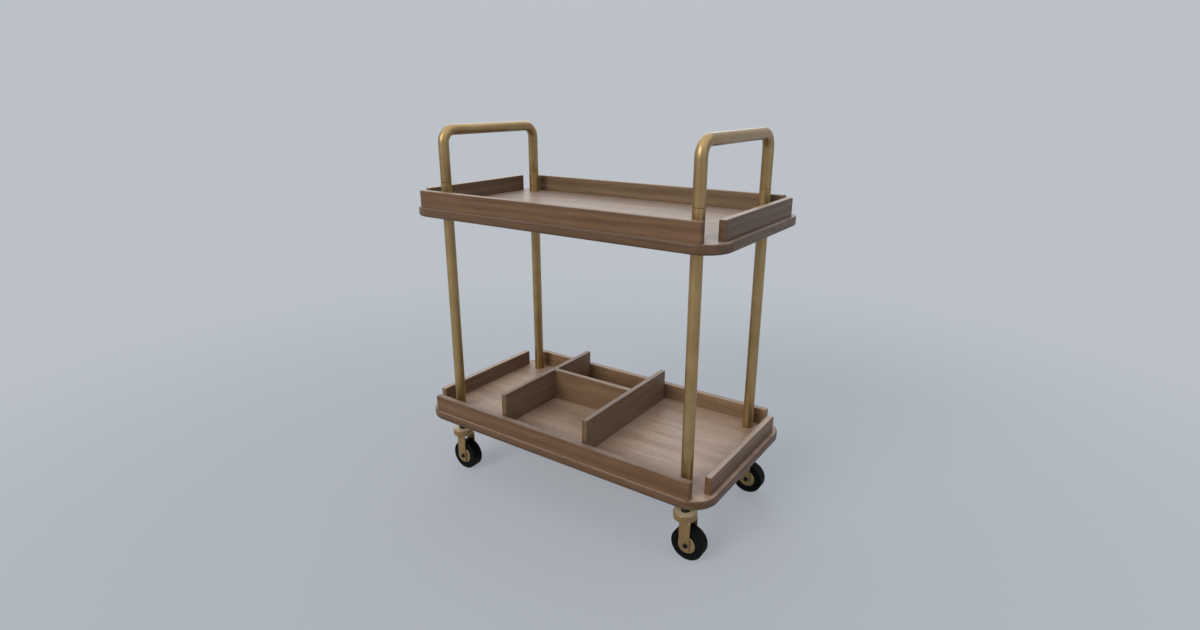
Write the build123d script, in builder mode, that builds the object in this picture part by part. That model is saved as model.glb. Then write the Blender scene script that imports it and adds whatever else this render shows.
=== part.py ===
from build123d import *
from dataclasses import dataclass
import math
import os

# Two-tier bar cart in millimetres, +Z up. The origin is on the floor under the middle of the cart,
# +X runs along the trays and the front faces -Y.

# Trays
tray_length = 803
tray_depth = 436
tray_spacing = 522
board_thickness = 20
board_corner_radius = 60
board_edge_radius = 4

# Rails that edge each tray
rail_height = 40
rail_thickness = 16
front_rail_inset = 5
rear_rail_inset = 14
side_rail_inset = 10.5
long_rail_end_inset = 38
short_rail_end_inset = 48.5
rail_corner_radius = 4
rail_edge_radius = 2.5
long_rail_screws = 3
short_rail_screws = 2
rail_screw_end_distance = 60

# Dividers of the lower tray, placed by the bays they leave
divider_height = 80
divider_thickness = 13
divider_corner_radius = 1.5
divider_edge_radius = 1
left_bay_length = 202
right_bay_length = 292
rear_bay_depth = 154.5
divider_front_gap = 24
divider_rear_gap = 5
divider_dado_depth = 4
side_divider_screws = 3
cross_divider_screws = 2
divider_screw_end_distance = 50

# Shallow housings that rails and dividers stand in
housing_depth = 3
housing_gap = 0.1

# Wood screws, driven up through the boards
screw_shank_diameter = 4
screw_head_diameter = 8
screw_bite = 22
screw_gap = 0.05

# Brass tube: posts, ferrules and handles
post_inset_x = 71.5
post_inset_y = 59
tube_diameter = 25
tube_wall = 1.5
tube_seat_depth = 2
tube_seat_gap = 0.1
ferrule_height = 56
seam_chamfer = 0.4
handle_rise = 174
handle_bend_radius = 30

# Threaded hardware inside the tubes
thread_diameter = 12
thread_gap = 0.05
thread_end_gap = 4
thread_hole_play = 0.5
insert_length = 24
press_gap = 0.02
spigot_upper_length = 24
handle_screw_diameter = 4
handle_screw_length = 10
handle_screw_head_diameter = 7
handle_screw_head_height = 2
handle_screw_head_edge_radius = 0.8
handle_screw_socket_across_flats = 3
handle_screw_socket_depth = 1.4

# Caster wheels
wheel_diameter = 75
tyre_width = 28
tyre_shoulder_radius = 2.5
hub_diameter = 41
hub_rib_height = 4
hub_rib_width = 12
hub_proud = 1
hub_chamfer = 1.5
wheel_bush_wall = 3
wheel_side_play = 0.5
wheel_bush_end_play = 0.25

# Caster axles
axle_diameter = 8
axle_gap = 0.05
axle_head_diameter = 11
axle_head_height = 2.5
axle_head_edge_radius = 1
axle_socket_across_flats = 5
axle_socket_depth = 1.8
axle_nut_across_flats = 11
axle_nut_height = 4
axle_end_proud = 0.5

# Caster forks
caster_trail = 13
wheel_headroom = 18.5
fork_head_diameter = 51
fork_head_height = 15.5
fork_head_edge_radius = 1.5
leg_thickness = 3
leg_front_reach = 4
leg_rear_reach = 21.5
leg_corner_radius = 3
leg_edge_radius = 0.6

# Caster stems
stem_height = 43
stem_diameter = 16
stem_hex_across_flats = 18
stem_hex_height = 12
stem_hex_chamfer = 1.2
kingpin_diameter = 12
kingpin_gap = 0.05
rivet_lip = 3
rivet_height = 4
rivet_edge_radius = 1.2
swivel_play = 0.3
swivel_bush_wall = 3
washer_diameter = 28
washer_thickness = 1.5

# Heights above the floor
axle_height = wheel_diameter / 2
fork_head_bottom = wheel_diameter + wheel_headroom
fork_head_top = fork_head_bottom + fork_head_height
lower_underside = fork_head_top + stem_height
lower_top = lower_underside + board_thickness
upper_top = lower_top + tray_spacing
upper_underside = upper_top - board_thickness
post_bottom = lower_top - tube_seat_depth
post_top = upper_underside + tube_seat_depth
ferrule_bottom = upper_top - tube_seat_depth
seam_height = upper_top + ferrule_height
handle_height = upper_top + handle_rise

# Places in plan
side_rail_x = tray_length / 2 - side_rail_inset - rail_thickness / 2
front_rail_y = front_rail_inset + rail_thickness / 2 - tray_depth / 2
rear_rail_y = tray_depth / 2 - rear_rail_inset - rail_thickness / 2
side_rail_inner_x = side_rail_x - rail_thickness / 2
front_rail_inner_y = front_rail_y + rail_thickness / 2
rear_rail_inner_y = rear_rail_y - rail_thickness / 2
post_x = tray_length / 2 - post_inset_x
post_y = tray_depth / 2 - post_inset_y
corners = {
    "front_left": (-post_x, -post_y),
    "front_right": (post_x, -post_y),
    "rear_left": (-post_x, post_y),
    "rear_right": (post_x, post_y),
}

# Sizes that follow from the fits
tube_radius = tube_diameter / 2
tube_bore_radius = tube_radius - tube_wall
thread_grip = insert_length - thread_end_gap
hub_width = tyre_width + 2 * hub_proud
fork_gap = hub_width + 2 * wheel_side_play
on_base = (Align.CENTER, Align.CENTER, Align.MIN)

os.makedirs("parts", exist_ok=True)


def save(piece, label):
    """Name a finished piece and write its file."""
    piece.part.label = label
    export_step(piece.part, f"parts/{label}.step")


@dataclass
class Panel:
    """A rail or divider: a board on edge that stands in a housing in its tray."""

    label: str
    x: float
    y: float
    length: float
    thickness: float
    height: float
    along_x: bool
    corner_radius: float
    edge_radius: float
    screws: int
    screw_end_distance: float

    def footprint(self, gap=0):
        """Size in X and Y, grown by a gap all round."""
        long_way = self.length + 2 * gap
        short_way = self.thickness + 2 * gap
        return (long_way, short_way) if self.along_x else (short_way, long_way)

    def screw_spots(self):
        """Centres of the screws, evenly spaced along the panel."""
        reach = self.length / 2 - self.screw_end_distance
        steps = [reach * (2 * i / (self.screws - 1) - 1) for i in range(self.screws)]
        if self.along_x:
            return [(self.x + step, self.y) for step in steps]
        return [(self.x, self.y + step) for step in steps]


def rails_of(tray):
    """The four rails of one tray, open at the corners."""
    long_rail = dict(
        length=tray_length - 2 * long_rail_end_inset,
        along_x=True,
        screws=long_rail_screws,
    )
    short_rail = dict(
        length=tray_depth - 2 * short_rail_end_inset,
        along_x=False,
        screws=short_rail_screws,
    )
    section = dict(
        thickness=rail_thickness,
        height=rail_height,
        corner_radius=min(rail_corner_radius, 0.45 * rail_thickness),
        edge_radius=min(rail_edge_radius, 0.8 * rail_corner_radius, 0.4 * rail_thickness),
        screw_end_distance=rail_screw_end_distance,
    )
    return [
        Panel(f"{tray}_front_rail", 0, front_rail_y, **long_rail, **section),
        Panel(f"{tray}_rear_rail", 0, rear_rail_y, **long_rail, **section),
        Panel(f"{tray}_left_rail", -side_rail_x, 0, **short_rail, **section),
        Panel(f"{tray}_right_rail", side_rail_x, 0, **short_rail, **section),
    ]


def dividers():
    """Left, right and cross divider of the lower tray, which stand as an H."""
    front_end = front_rail_inner_y + divider_front_gap
    rear_end = rear_rail_inner_y - divider_rear_gap
    left_x = -side_rail_inner_x + left_bay_length + divider_thickness / 2
    right_x = side_rail_inner_x - right_bay_length - divider_thickness / 2
    cross_y = rear_rail_inner_y - rear_bay_depth - divider_thickness / 2
    cross_length = right_x - left_x - divider_thickness + 2 * (divider_dado_depth - housing_gap)
    section = dict(
        thickness=divider_thickness,
        height=divider_height,
        corner_radius=min(divider_corner_radius, 0.45 * divider_thickness),
        edge_radius=min(divider_edge_radius, 0.8 * divider_corner_radius, 0.4 * divider_thickness),
        screw_end_distance=divider_screw_end_distance,
    )
    side = dict(length=rear_end - front_end, along_x=False, screws=side_divider_screws)
    middle_y = (front_end + rear_end) / 2
    return [
        Panel("left_divider", left_x, middle_y, **side, **section),
        Panel("right_divider", right_x, middle_y, **side, **section),
        Panel(
            "cross_divider",
            (left_x + right_x) / 2,
            cross_y,
            length=cross_length,
            along_x=True,
            screws=cross_divider_screws,
            **section,
        ),
    ]


def build_board(label, top, panels, seat_bottoms):
    """A tray board: rounded outline and edges, tube seats, panel housings and screw holes."""
    screw_spots = [spot for panel in panels for spot in panel.screw_spots()]
    underside = top - board_thickness
    with BuildPart() as board:
        with BuildSketch(Plane.XY.offset(underside)):
            RectangleRounded(tray_length, tray_depth, board_corner_radius)
        extrude(amount=board_thickness)
        rims = board.faces().sort_by(Axis.Z)
        rounding = min(board_edge_radius, 0.45 * board_thickness, 0.9 * front_rail_inset)
        fillet(rims[0].edges() + rims[-1].edges(), rounding)
        with BuildSketch(Plane.XY.offset(top)):
            for panel in panels:
                with Locations((panel.x, panel.y)):
                    RectangleRounded(*panel.footprint(housing_gap), panel.corner_radius + housing_gap)
        extrude(amount=-housing_depth, mode=Mode.SUBTRACT)
        for seat_bottom in seat_bottoms:
            with Locations((0, 0, seat_bottom)):
                with GridLocations(2 * post_x, 2 * post_y, 2, 2):
                    Cylinder(
                        tube_radius + tube_seat_gap,
                        tube_seat_depth,
                        align=on_base,
                        mode=Mode.SUBTRACT,
                    )
        with Locations((0, 0, top)):
            with GridLocations(2 * post_x, 2 * post_y, 2, 2):
                Hole(thread_diameter / 2 + thread_hole_play)
        with Locations(*[Location((x, y, underside), (180, 0, 0)) for x, y in screw_spots]):
            CounterSinkHole(
                screw_shank_diameter / 2 + screw_gap,
                screw_head_diameter / 2 + screw_gap,
                depth=board_thickness,
                counter_sink_angle=90,
            )
    save(board, label)


def build_panel(panel, top, dado=None):
    """A rail or divider with rounded edges and screw holes, and a dado where another is let in."""
    foot = top - housing_depth
    with BuildPart() as upright:
        with BuildSketch(Plane.XY.offset(foot)):
            with Locations((panel.x, panel.y)):
                RectangleRounded(*panel.footprint(), panel.corner_radius)
        extrude(amount=housing_depth + panel.height)
        fillet(upright.faces().sort_by(Axis.Z)[-1].edges(), panel.edge_radius)
        with BuildSketch(Plane.XY.offset(foot)):
            with Locations(*panel.screw_spots()):
                Circle(screw_shank_diameter / 2 + screw_gap)
        extrude(amount=screw_bite + screw_gap, mode=Mode.SUBTRACT)
        if dado:
            with BuildSketch(Plane.XY.offset(foot)):
                with Locations((dado.x, dado.y)):
                    Rectangle(*dado.footprint(housing_gap))
            extrude(amount=housing_depth + panel.height, mode=Mode.SUBTRACT)
    save(upright, panel.label)


def build_wood_screws(label, top, panels):
    """Countersunk screws, flush with the underside of a board."""
    spots = [spot for panel in panels for spot in panel.screw_spots()]
    head_height = (screw_head_diameter - screw_shank_diameter) / 2
    length = board_thickness - housing_depth + screw_bite
    with BuildPart() as screws:
        with Locations(*[(x, y, top - board_thickness) for x, y in spots]):
            Cone(screw_head_diameter / 2, screw_shank_diameter / 2, head_height, align=on_base)
            Cylinder(screw_shank_diameter / 2, length, align=on_base)
    save(screws, label)


def build_post(label, x, y):
    """A tube between the trays, seated in both boards."""
    with BuildPart() as post:
        with BuildSketch(Plane.XY.offset(post_bottom)):
            with Locations((x, y)):
                Circle(tube_radius)
                Circle(tube_bore_radius, mode=Mode.SUBTRACT)
        extrude(amount=post_top - post_bottom)
    save(post, label)


def handle_screw_height():
    """Middle of the stretch where the spigot stands inside the ferrule."""
    return (ferrule_bottom + insert_length + seam_height) / 2


def build_ferrule(label, x, y):
    """A short tube on the upper board, with a chamfer at the seam and a screw hole at its back."""
    with BuildPart() as ferrule:
        with BuildSketch(Plane.XY.offset(ferrule_bottom)):
            with Locations((x, y)):
                Circle(tube_radius)
        extrude(amount=seam_height - ferrule_bottom)
        chamfer(ferrule.edges().sort_by(Axis.Z)[-1], seam_chamfer)
        with Locations((x, y, seam_height)):
            Hole(tube_bore_radius)
        with Locations((x, y, handle_screw_height())):
            Cylinder(
                handle_screw_diameter / 2 + thread_gap,
                tube_diameter,
                rotation=(-90, 0, 0),
                align=on_base,
                mode=Mode.SUBTRACT,
            )
    save(ferrule, label)


def build_handle(label, x):
    """An inverted U of tube that joins the front and rear ferrules of one end."""
    corner_points = [
        (-post_y, seam_height),
        (-post_y, handle_height),
        (post_y, handle_height),
        (post_y, seam_height),
    ]
    with BuildPart() as handle:
        with BuildLine(Plane.YZ.offset(x)):
            FilletPolyline(*corner_points, radius=handle_bend_radius)
        with BuildSketch(Plane.XY.offset(seam_height)):
            with Locations((x, -post_y)):
                Circle(tube_radius)
                Circle(tube_bore_radius, mode=Mode.SUBTRACT)
        sweep()
        leg_ends = handle.faces().filter_by(Axis.Z).sort_by(Axis.Z)[:2]
        rims = [end.edges().sort_by(SortBy.RADIUS)[-1] for end in leg_ends]
        chamfer(rims, seam_chamfer)
    save(handle, label)


def build_tube_hardware():
    """What joins the tubes: threaded inserts, tie studs, handle spigots and their screws."""
    insert_bottoms = (post_bottom, post_top - insert_length, ferrule_bottom)
    with BuildPart() as inserts:
        for bottom in insert_bottoms:
            with Locations(*[(x, y, bottom) for x, y in corners.values()]):
                Cylinder(tube_bore_radius - press_gap, insert_length, align=on_base)
        with Locations(*[(x, y, seam_height) for x, y in corners.values()]):
            Hole(thread_diameter / 2 + thread_gap)
    save(inserts, "threaded_inserts")

    stud_bottom = post_top - thread_grip
    with BuildPart() as studs:
        with Locations(*[(x, y, stud_bottom) for x, y in corners.values()]):
            Cylinder(thread_diameter / 2, ferrule_bottom + thread_grip - stud_bottom, align=on_base)
    save(studs, "tie_studs")

    spigot_bottom = ferrule_bottom + insert_length
    screw_seats = [(x, y + tube_radius, handle_screw_height()) for x, y in corners.values()]
    with BuildPart() as spigots:
        with Locations(*[(x, y, spigot_bottom) for x, y in corners.values()]):
            Cylinder(
                tube_bore_radius - press_gap,
                seam_height + spigot_upper_length - spigot_bottom,
                align=on_base,
            )
        with Locations(*screw_seats):
            Cylinder(
                handle_screw_diameter / 2 + thread_gap,
                handle_screw_length + thread_gap,
                rotation=(90, 0, 0),
                align=on_base,
                mode=Mode.SUBTRACT,
            )
    save(spigots, "handle_spigots")

    with BuildPart() as handle_screws:
        with Locations(*screw_seats):
            Cylinder(
                handle_screw_diameter / 2,
                handle_screw_length,
                rotation=(90, 0, 0),
                align=on_base,
            )
            Cylinder(
                handle_screw_head_diameter / 2,
                handle_screw_head_height,
                rotation=(-90, 0, 0),
                align=on_base,
            )
        head_faces = [solid.faces().sort_by(Axis.Y)[-1] for solid in handle_screws.solids()]
        head_rims = [edge for face in head_faces for edge in face.edges()]
        fillet(head_rims, min(handle_screw_head_edge_radius, 0.4 * handle_screw_head_height))
        for seat_x, seat_y, seat_z in screw_seats:
            with BuildSketch(Plane.XZ.offset(-seat_y - handle_screw_head_height)):
                with Locations((seat_x, seat_z)):
                    RegularPolygon(handle_screw_socket_across_flats / 2, 6, major_radius=False)
            extrude(amount=handle_screw_socket_depth, mode=Mode.SUBTRACT)
    save(handle_screws, "handle_screws")


def build_stem_washers():
    """Washers between the caster stems and the lower board."""
    with BuildPart() as washers:
        with Locations(*[(x, y, lower_underside - washer_thickness) for x, y in corners.values()]):
            Cylinder(washer_diameter / 2, washer_thickness, align=on_base)
        with Locations(*[(x, y, lower_underside) for x, y in corners.values()]):
            Hole(thread_diameter / 2 + thread_hole_play, depth=washer_thickness)
    save(washers, "stem_washers")


def build_stem(label, x, y):
    """Caster stem: riveted kingpin, hex collar, round shank and the thread that screws into the post."""
    journal_bottom = fork_head_bottom - swivel_play
    collar_bottom = fork_head_top + swivel_play
    shank_bottom = collar_bottom + stem_hex_height
    thread_bottom = lower_underside - washer_thickness
    hex_corner_radius = stem_hex_across_flats / math.sqrt(3)
    with BuildPart() as stem:
        with BuildSketch(Plane.XY.offset(collar_bottom)):
            with Locations((x, y)):
                RegularPolygon(stem_hex_across_flats / 2, 6, major_radius=False)
        extrude(amount=stem_hex_height)

        # Turning takes the hex corners off above and below
        with BuildSketch(Plane.XZ.offset(-y)) as turned:
            with Locations((x, collar_bottom)):
                Rectangle(hex_corner_radius, stem_hex_height, align=(Align.MIN, Align.MIN))
            chamfer(turned.vertices().sort_by(Axis.X)[-2:], stem_hex_chamfer)
        revolve(axis=Axis((x, y, 0), (0, 0, 1)), mode=Mode.INTERSECT)

        with Locations((x, y, journal_bottom - rivet_height)):
            Cylinder(kingpin_diameter / 2 + rivet_lip, rivet_height, align=on_base)
        fillet(stem.edges().sort_by(Axis.Z)[0], min(rivet_edge_radius, 0.4 * rivet_height))
        with Locations((x, y, journal_bottom)):
            Cylinder(kingpin_diameter / 2, collar_bottom - journal_bottom, align=on_base)
        with Locations((x, y, shank_bottom)):
            Cylinder(stem_diameter / 2, thread_bottom - shank_bottom, align=on_base)
        with Locations((x, y, thread_bottom)):
            Cylinder(thread_diameter / 2, post_bottom + thread_grip - thread_bottom, align=on_base)
    save(stem, label)


def build_fork(label, x, y):
    """Caster fork: round head and two straight legs with ends rounded about the axle."""
    axle_x = x + caster_trail
    front_edge = x - leg_front_reach
    rear_edge = x + leg_rear_reach

    # The front edge runs into an arc about the axle, which ends under the rear edge
    nose_radius = axle_x - front_edge
    corner_angle = math.degrees(math.acos(min(1, (rear_edge - axle_x) / nose_radius)))

    with BuildPart() as fork:
        with BuildSketch(Plane.XY.offset(fork_head_bottom)):
            with Locations((x, y)):
                Circle(fork_head_diameter / 2)
        extrude(amount=fork_head_height)
        fillet(fork.edges().filter_by(GeomType.CIRCLE), fork_head_edge_radius)
        for outer_side in (y - fork_gap / 2, y + fork_gap / 2 + leg_thickness):
            with BuildSketch(Plane.XZ.offset(-outer_side)) as leg:
                with BuildLine():
                    Line((front_edge, fork_head_bottom), (front_edge, axle_height))
                    nose = CenterArc((axle_x, axle_height), nose_radius, 180, 180 - corner_angle)
                    Line(nose @ 1, (rear_edge, fork_head_bottom))
                    Line((rear_edge, fork_head_bottom), (front_edge, fork_head_bottom))
                make_face()
                fillet(leg.vertices().sort_by(Axis.X)[-2:].sort_by(Axis.Y)[0], leg_corner_radius)
                with Locations((axle_x, axle_height)):
                    Circle(axle_diameter / 2 + axle_gap, mode=Mode.SUBTRACT)
            extrude(amount=leg_thickness)
        outer_faces = fork.faces().filter_by(Axis.Y).sort_by(Axis.Y)
        outer_edges = outer_faces[0].edges() + outer_faces[-1].edges()
        free_edges = [edge for edge in outer_edges if (edge @ 0.5).Z < fork_head_bottom - leg_edge_radius]
        fillet(free_edges, min(leg_edge_radius, 0.4 * leg_thickness))
        with Locations((x, y, fork_head_top)):
            Hole(kingpin_diameter / 2 + swivel_bush_wall + press_gap, depth=fork_head_height)
    save(fork, label)


def build_swivel_bush(label, x, y):
    """Plain bearing in the fork head that turns on the kingpin."""
    with BuildPart() as bush:
        with BuildSketch(Plane.XY.offset(fork_head_bottom)):
            with Locations((x, y)):
                Circle(kingpin_diameter / 2 + swivel_bush_wall)
                Circle(kingpin_diameter / 2 + kingpin_gap, mode=Mode.SUBTRACT)
        extrude(amount=fork_head_height)
    save(bush, label)


def build_axle(label, x, y):
    """Axle bolt with a socket head at the front and a nut behind the rear leg."""
    axle_x = x + caster_trail
    front_face = y - fork_gap / 2 - leg_thickness
    rear_face = y + fork_gap / 2 + leg_thickness
    shank_end = rear_face + axle_nut_height + axle_end_proud
    with BuildPart() as axle:
        with BuildSketch(Plane.XZ.offset(-front_face)):
            with Locations((axle_x, axle_height)):
                Circle(axle_head_diameter / 2)
        extrude(amount=axle_head_height)
        head_rim = axle.edges().filter_by(GeomType.CIRCLE).sort_by(Axis.Y)[0]
        fillet(head_rim, min(axle_head_edge_radius, 0.4 * axle_head_height))
        with BuildSketch(Plane.XZ.offset(axle_head_height - front_face)):
            with Locations((axle_x, axle_height)):
                RegularPolygon(axle_socket_across_flats / 2, 6, major_radius=False)
        extrude(amount=-axle_socket_depth, mode=Mode.SUBTRACT)
        with BuildSketch(Plane.XZ.offset(-front_face)):
            with Locations((axle_x, axle_height)):
                Circle(axle_diameter / 2)
        extrude(amount=front_face - shank_end)
        with BuildSketch(Plane.XZ.offset(-rear_face)):
            with Locations((axle_x, axle_height)):
                RegularPolygon(axle_nut_across_flats / 2, 6, major_radius=False)
                Circle(axle_diameter / 2 + axle_gap, mode=Mode.SUBTRACT)
        extrude(amount=-axle_nut_height)
    save(axle, label)


def build_wheel(label, x, y):
    """Hub with a locking rib, the tyre moulded over it, and the bush that runs on the axle."""
    center = (x + caster_trail, y, axle_height)
    section = Plane(center, x_dir=(0, 1, 0), z_dir=(1, 0, 0))
    spin_axis = Axis(center, (0, 1, 0))
    bore_radius = axle_diameter / 2 + wheel_bush_wall
    hub_radius = hub_diameter / 2
    rib_radius = hub_radius + hub_rib_height
    tyre_depth = wheel_diameter / 2 - hub_radius - press_gap
    from_below = (Align.CENTER, Align.MIN)

    with BuildPart() as hub:
        with BuildSketch(section):
            with Locations((0, bore_radius + press_gap)):
                Rectangle(hub_width, hub_radius - bore_radius - press_gap, align=from_below)
            with Locations((0, hub_radius)):
                Rectangle(hub_rib_width, hub_rib_height, align=from_below)
        revolve(axis=spin_axis)
        face_rims = hub.edges().filter_by(GeomType.CIRCLE).group_by(SortBy.RADIUS)[1]
        chamfer(face_rims.sort_by(Axis.Y)[0], hub_chamfer)
        chamfer(face_rims.sort_by(Axis.Y)[-1], hub_chamfer)
    save(hub, f"{label}_hub")

    with BuildPart() as tyre:
        with BuildSketch(section) as outline:
            with Locations((0, hub_radius + press_gap)):
                Rectangle(tyre_width, tyre_depth, align=from_below)
            shoulders = outline.vertices().sort_by(Axis.Y)[-2:]
            fillet(shoulders, min(tyre_shoulder_radius, 0.45 * tyre_width, 0.9 * tyre_depth))
            Rectangle(
                hub_rib_width + 2 * press_gap,
                rib_radius + press_gap,
                align=from_below,
                mode=Mode.SUBTRACT,
            )
        revolve(axis=spin_axis)
    save(tyre, f"{label}_tyre")

    with BuildPart() as bush:
        with BuildSketch(section):
            with Locations((0, axle_diameter / 2 + axle_gap)):
                Rectangle(
                    fork_gap - 2 * wheel_bush_end_play,
                    wheel_bush_wall - axle_gap,
                    align=from_below,
                )
        revolve(axis=spin_axis)
    save(bush, f"{label}_wheel_bush")


# Wooden trays
upper_rails = rails_of("upper")
lower_rails = rails_of("lower")
left_divider, right_divider, cross_divider = dividers()
all_dividers = [left_divider, right_divider, cross_divider]
build_board("upper_board", upper_top, upper_rails, [ferrule_bottom, upper_underside])
build_board("lower_board", lower_top, lower_rails + all_dividers, [post_bottom])
for rail in upper_rails:
    build_panel(rail, upper_top)
for rail in lower_rails:
    build_panel(rail, lower_top)
build_panel(left_divider, lower_top, dado=cross_divider)
build_panel(right_divider, lower_top, dado=cross_divider)
build_panel(cross_divider, lower_top)
build_wood_screws("upper_rail_screws", upper_top, upper_rails)
build_wood_screws("lower_rail_screws", lower_top, lower_rails)
build_wood_screws("divider_screws", lower_top, all_dividers)

# Brass tube frame
for corner, (corner_x, corner_y) in corners.items():
    build_post(f"post_{corner}", corner_x, corner_y)
    build_ferrule(f"ferrule_{corner}", corner_x, corner_y)
build_handle("handle_left", -post_x)
build_handle("handle_right", post_x)
build_tube_hardware()

# Casters
build_stem_washers()
for corner, (corner_x, corner_y) in corners.items():
    caster = f"caster_{corner}"
    build_stem(f"{caster}_stem", corner_x, corner_y)
    build_fork(f"{caster}_fork", corner_x, corner_y)
    build_swivel_bush(f"{caster}_swivel_bush", corner_x, corner_y)
    build_axle(f"{caster}_axle", corner_x, corner_y)
    build_wheel(caster, corner_x, corner_y)
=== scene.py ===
"""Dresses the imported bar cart: finishes, fine modelled detail, studio and camera."""

import logging
import math
from collections.abc import Callable
from dataclasses import dataclass, field, replace
from enum import Enum
from typing import Any

import bpy
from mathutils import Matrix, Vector


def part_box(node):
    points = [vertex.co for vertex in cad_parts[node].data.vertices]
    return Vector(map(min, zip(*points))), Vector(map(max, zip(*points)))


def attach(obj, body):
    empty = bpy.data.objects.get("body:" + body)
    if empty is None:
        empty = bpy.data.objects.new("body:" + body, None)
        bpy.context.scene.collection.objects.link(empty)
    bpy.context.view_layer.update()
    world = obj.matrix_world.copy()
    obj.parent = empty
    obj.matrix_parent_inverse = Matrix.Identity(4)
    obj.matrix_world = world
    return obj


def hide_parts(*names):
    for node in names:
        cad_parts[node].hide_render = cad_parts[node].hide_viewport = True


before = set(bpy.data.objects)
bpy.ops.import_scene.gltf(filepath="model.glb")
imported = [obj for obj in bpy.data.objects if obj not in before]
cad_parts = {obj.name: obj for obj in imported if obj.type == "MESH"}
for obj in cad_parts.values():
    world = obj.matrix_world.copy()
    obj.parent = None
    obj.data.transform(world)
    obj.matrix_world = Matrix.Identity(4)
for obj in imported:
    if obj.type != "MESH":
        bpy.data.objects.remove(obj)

log = logging.getLogger("bar_cart")

# Three numbers, such as places along X, Y and Z
Triple = tuple[float, float, float]
# The dark, the middle and the light sRGB colour of a wood
Shades = tuple[str, str, str]

MM = 0.001
CORNERS = ("front_left", "front_right", "rear_left", "rear_right")
# Height of the seam between each ferrule and its handle
SEAM_MM = 750.0

# Nearly all of a noise pattern lies between the first two values, and most of it between the second two
NOISE_LOW, NOISE_HIGH = 0.30, 0.70
CLOUD_LOW, CLOUD_HIGH = 0.35, 0.65
# The sockets of a Mix node that carry colours
COLOR_A, COLOR_B, COLOR_OUT = 6, 7, 2

# A face looks along an axis where its normal has more than the first share of it, and across it where it
# has less than the second
ALONG_AXIS, ACROSS_AXIS = 0.9, 0.1
# An edge that turns by more than this is rounded, and keeps its shading sharp
SHARP_TURN = math.radians(30)
MERGE_DISTANCE = 0.001 * MM


class Grain(Enum):
    """Which way the grain of a wooden piece runs, as a turn about Z in degrees."""

    ALONG_X = 0.0
    ALONG_Y = 90.0


class Brush(Enum):
    """Which way metal was brushed, as the pattern's scale along X, Y and Z: a small one draws marks out."""

    UP = (1.0, 1.0, 0.04)
    ALL_ROUND = (1.0, 1.0, 1.0)


def linear(hex_color: str, gain: float = 1.0) -> tuple[float, ...]:
    """Turn an sRGB hex colour into linear values, by the curve of the sRGB standard.

    Args:
        hex_color: The colour as "#RRGGBB".
        gain: Factor on the linear values.

    Returns:
        Linear red, green, blue and an alpha of 1.
    """
    channels = [int(hex_color[i:i + 2], 16) / 255 for i in (1, 3, 5)]
    evened = [c / 12.92 if c <= 0.04045 else ((c + 0.055) / 1.055) ** 2.4 for c in channels]
    return (*[c * gain for c in evened], 1.0)


def add_node(
    tree: bpy.types.NodeTree,
    kind: str,
    inputs: dict[str | int, Any] | None = None,
    stops: list[tuple[float, tuple[float, ...]]] | None = None,
    **settings: Any,
) -> bpy.types.Node:
    """Add one node with its settings and links.

    Args:
        tree: The node tree that gets the node.
        kind: The node's type name.
        inputs: Values, or sockets to link from, by the input's name or number.
        stops: Places and colours along the node's colour ramp.
        **settings: The node's own settings.

    Returns:
        The new node.
    """
    node = tree.nodes.new(kind)
    for name, value in settings.items():
        setattr(node, name, value)
    for name, value in (inputs or {}).items():
        if isinstance(value, bpy.types.NodeSocket):
            tree.links.new(value, node.inputs[name])
        else:
            node.inputs[name].default_value = value
    for i, (place, color) in enumerate(stops or []):
        elements = node.color_ramp.elements
        # A new ramp comes with two stops
        element = elements[i] if i < 2 else elements.new(place)
        element.position = place
        element.color = color
    return node


@dataclass(frozen=True)
class Finish:
    """A surface finish, which makes its own material."""

    name: str

    def material(self) -> bpy.types.Material:
        """Make the material.

        Returns:
            A material with one Principled shader.
        """
        made = bpy.data.materials.new(self.name)
        made.use_nodes = True
        tree = made.node_tree
        tree.nodes.clear()
        shader = add_node(tree, "ShaderNodeBsdfPrincipled", self.surface(tree)).outputs[0]
        add_node(tree, "ShaderNodeOutputMaterial", {"Surface": shader})
        return made

    def surface(self, tree: bpy.types.NodeTree) -> dict[str, Any]:
        """Draw the patterns of the surface.

        Args:
            tree: The material's node tree.

        Returns:
            What goes into the shader: sockets of the patterns, and plain values.
        """
        raise NotImplementedError


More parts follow.
